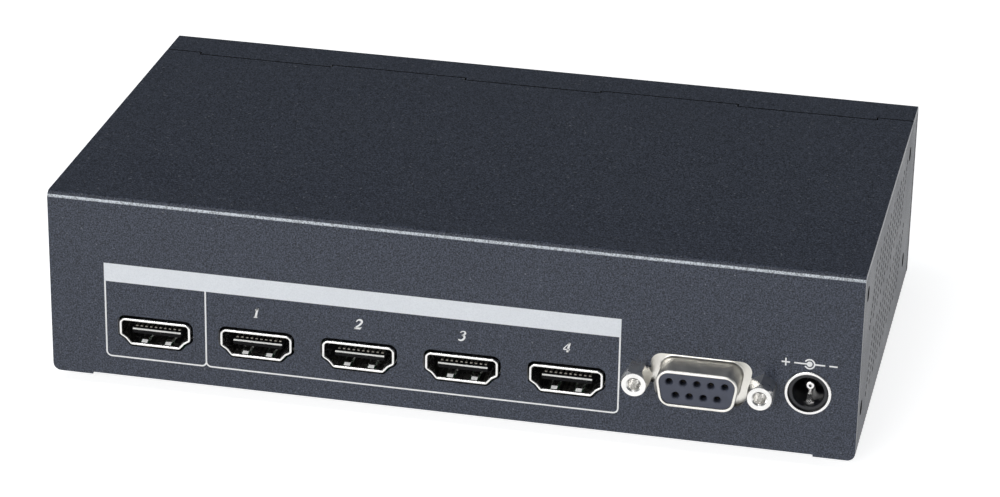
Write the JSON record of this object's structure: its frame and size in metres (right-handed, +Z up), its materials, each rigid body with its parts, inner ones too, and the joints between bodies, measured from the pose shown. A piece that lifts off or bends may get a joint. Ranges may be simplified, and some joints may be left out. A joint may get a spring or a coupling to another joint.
{
  "type": "hdmi splitter",
  "caption": "Flat steel desktop box that copies one video input to a row of outputs, with a serial control socket, a barrel power inlet and pierced side walls.",
  "frame": {"origin": "bottom centre of the whole part's bounding box, under the feet", "axes": "+Z up, -Y out of the face with the ports, +X to the right when facing the ports"},
  "size_m": [0.166, 0.098, 0.0425],
  "materials": {
    "dark_paint": "satin, fine texture",
    "black_screws": "satin",
    "foot_rubber": "matte",
    "white_ink": "matte",
    "bright_plating": "bright",
    "screw_plating": "bright",
    "black_plastic": "satin",
    "grey_plastic": "satin",
    "contact_plating": "satin",
    "board_green": "satin",
    "brass_posts": "satin",
    "light_lens": "gloss",
    "chip_black": "matte",
    "sink_aluminium": "satin",
    "coil_grey": "matte",
    "can_aluminium": "satin",
    "ceramic_parts": "matte"
  },
  "bodies": {
    "root": {"top_cover": "dark_paint", "base_tray": "dark_paint", "front_bezel": "dark_paint", "case_screws": "black_screws", "rubber_foot_1": "foot_rubber", "rubber_foot_2": "foot_rubber", "rubber_foot_3": "foot_rubber", "rubber_foot_4": "foot_rubber", "panel_print": "white_ink", "polarity_mark": "white_ink", "video_in_shell": "bright_plating", "video_in_insulator": "black_plastic", "video_in_contacts": "contact_plating", "video_out_1_shell": "bright_plating", "video_out_1_insulator": "black_plastic", "video_out_1_contacts": "contact_plating", "video_out_2_shell": "bright_plating", "video_out_2_insulator": "black_plastic", "video_out_2_contacts": "contact_plating", "video_out_3_shell": "bright_plating", "video_out_3_insulator": "black_plastic", "video_out_3_contacts": "contact_plating", "video_out_4_shell": "bright_plating", "video_out_4_insulator": "black_plastic", "video_out_4_contacts": "contact_plating", "serial_shell": "bright_plating", "serial_insulator": "grey_plastic", "serial_contacts": "contact_plating", "serial_brackets": "bright_plating", "jack_screws": "screw_plating", "inlet_ring": "bright_plating", "inlet_spring": "bright_plating", "inlet_pin": "bright_plating", "inlet_body": "black_plastic", "main_board": "board_green", "board_standoffs": "brass_posts", "board_screws": "screw_plating", "status_lights": "light_lens", "light_holders": "black_plastic", "splitter_chip": "chip_black", "heat_sink": "sink_aluminium", "input_equaliser_chip": "chip_black", "output_driver_chips": "chip_black", "serial_driver_chip": "chip_black", "memory_chip": "chip_black", "regulator_chip": "chip_black", "power_inductor": "coil_grey", "filter_capacitors": "can_aluminium", "clock_crystal": "can_aluminium", "small_chip_parts": "ceramic_parts"}
  },
  "joints": []
}
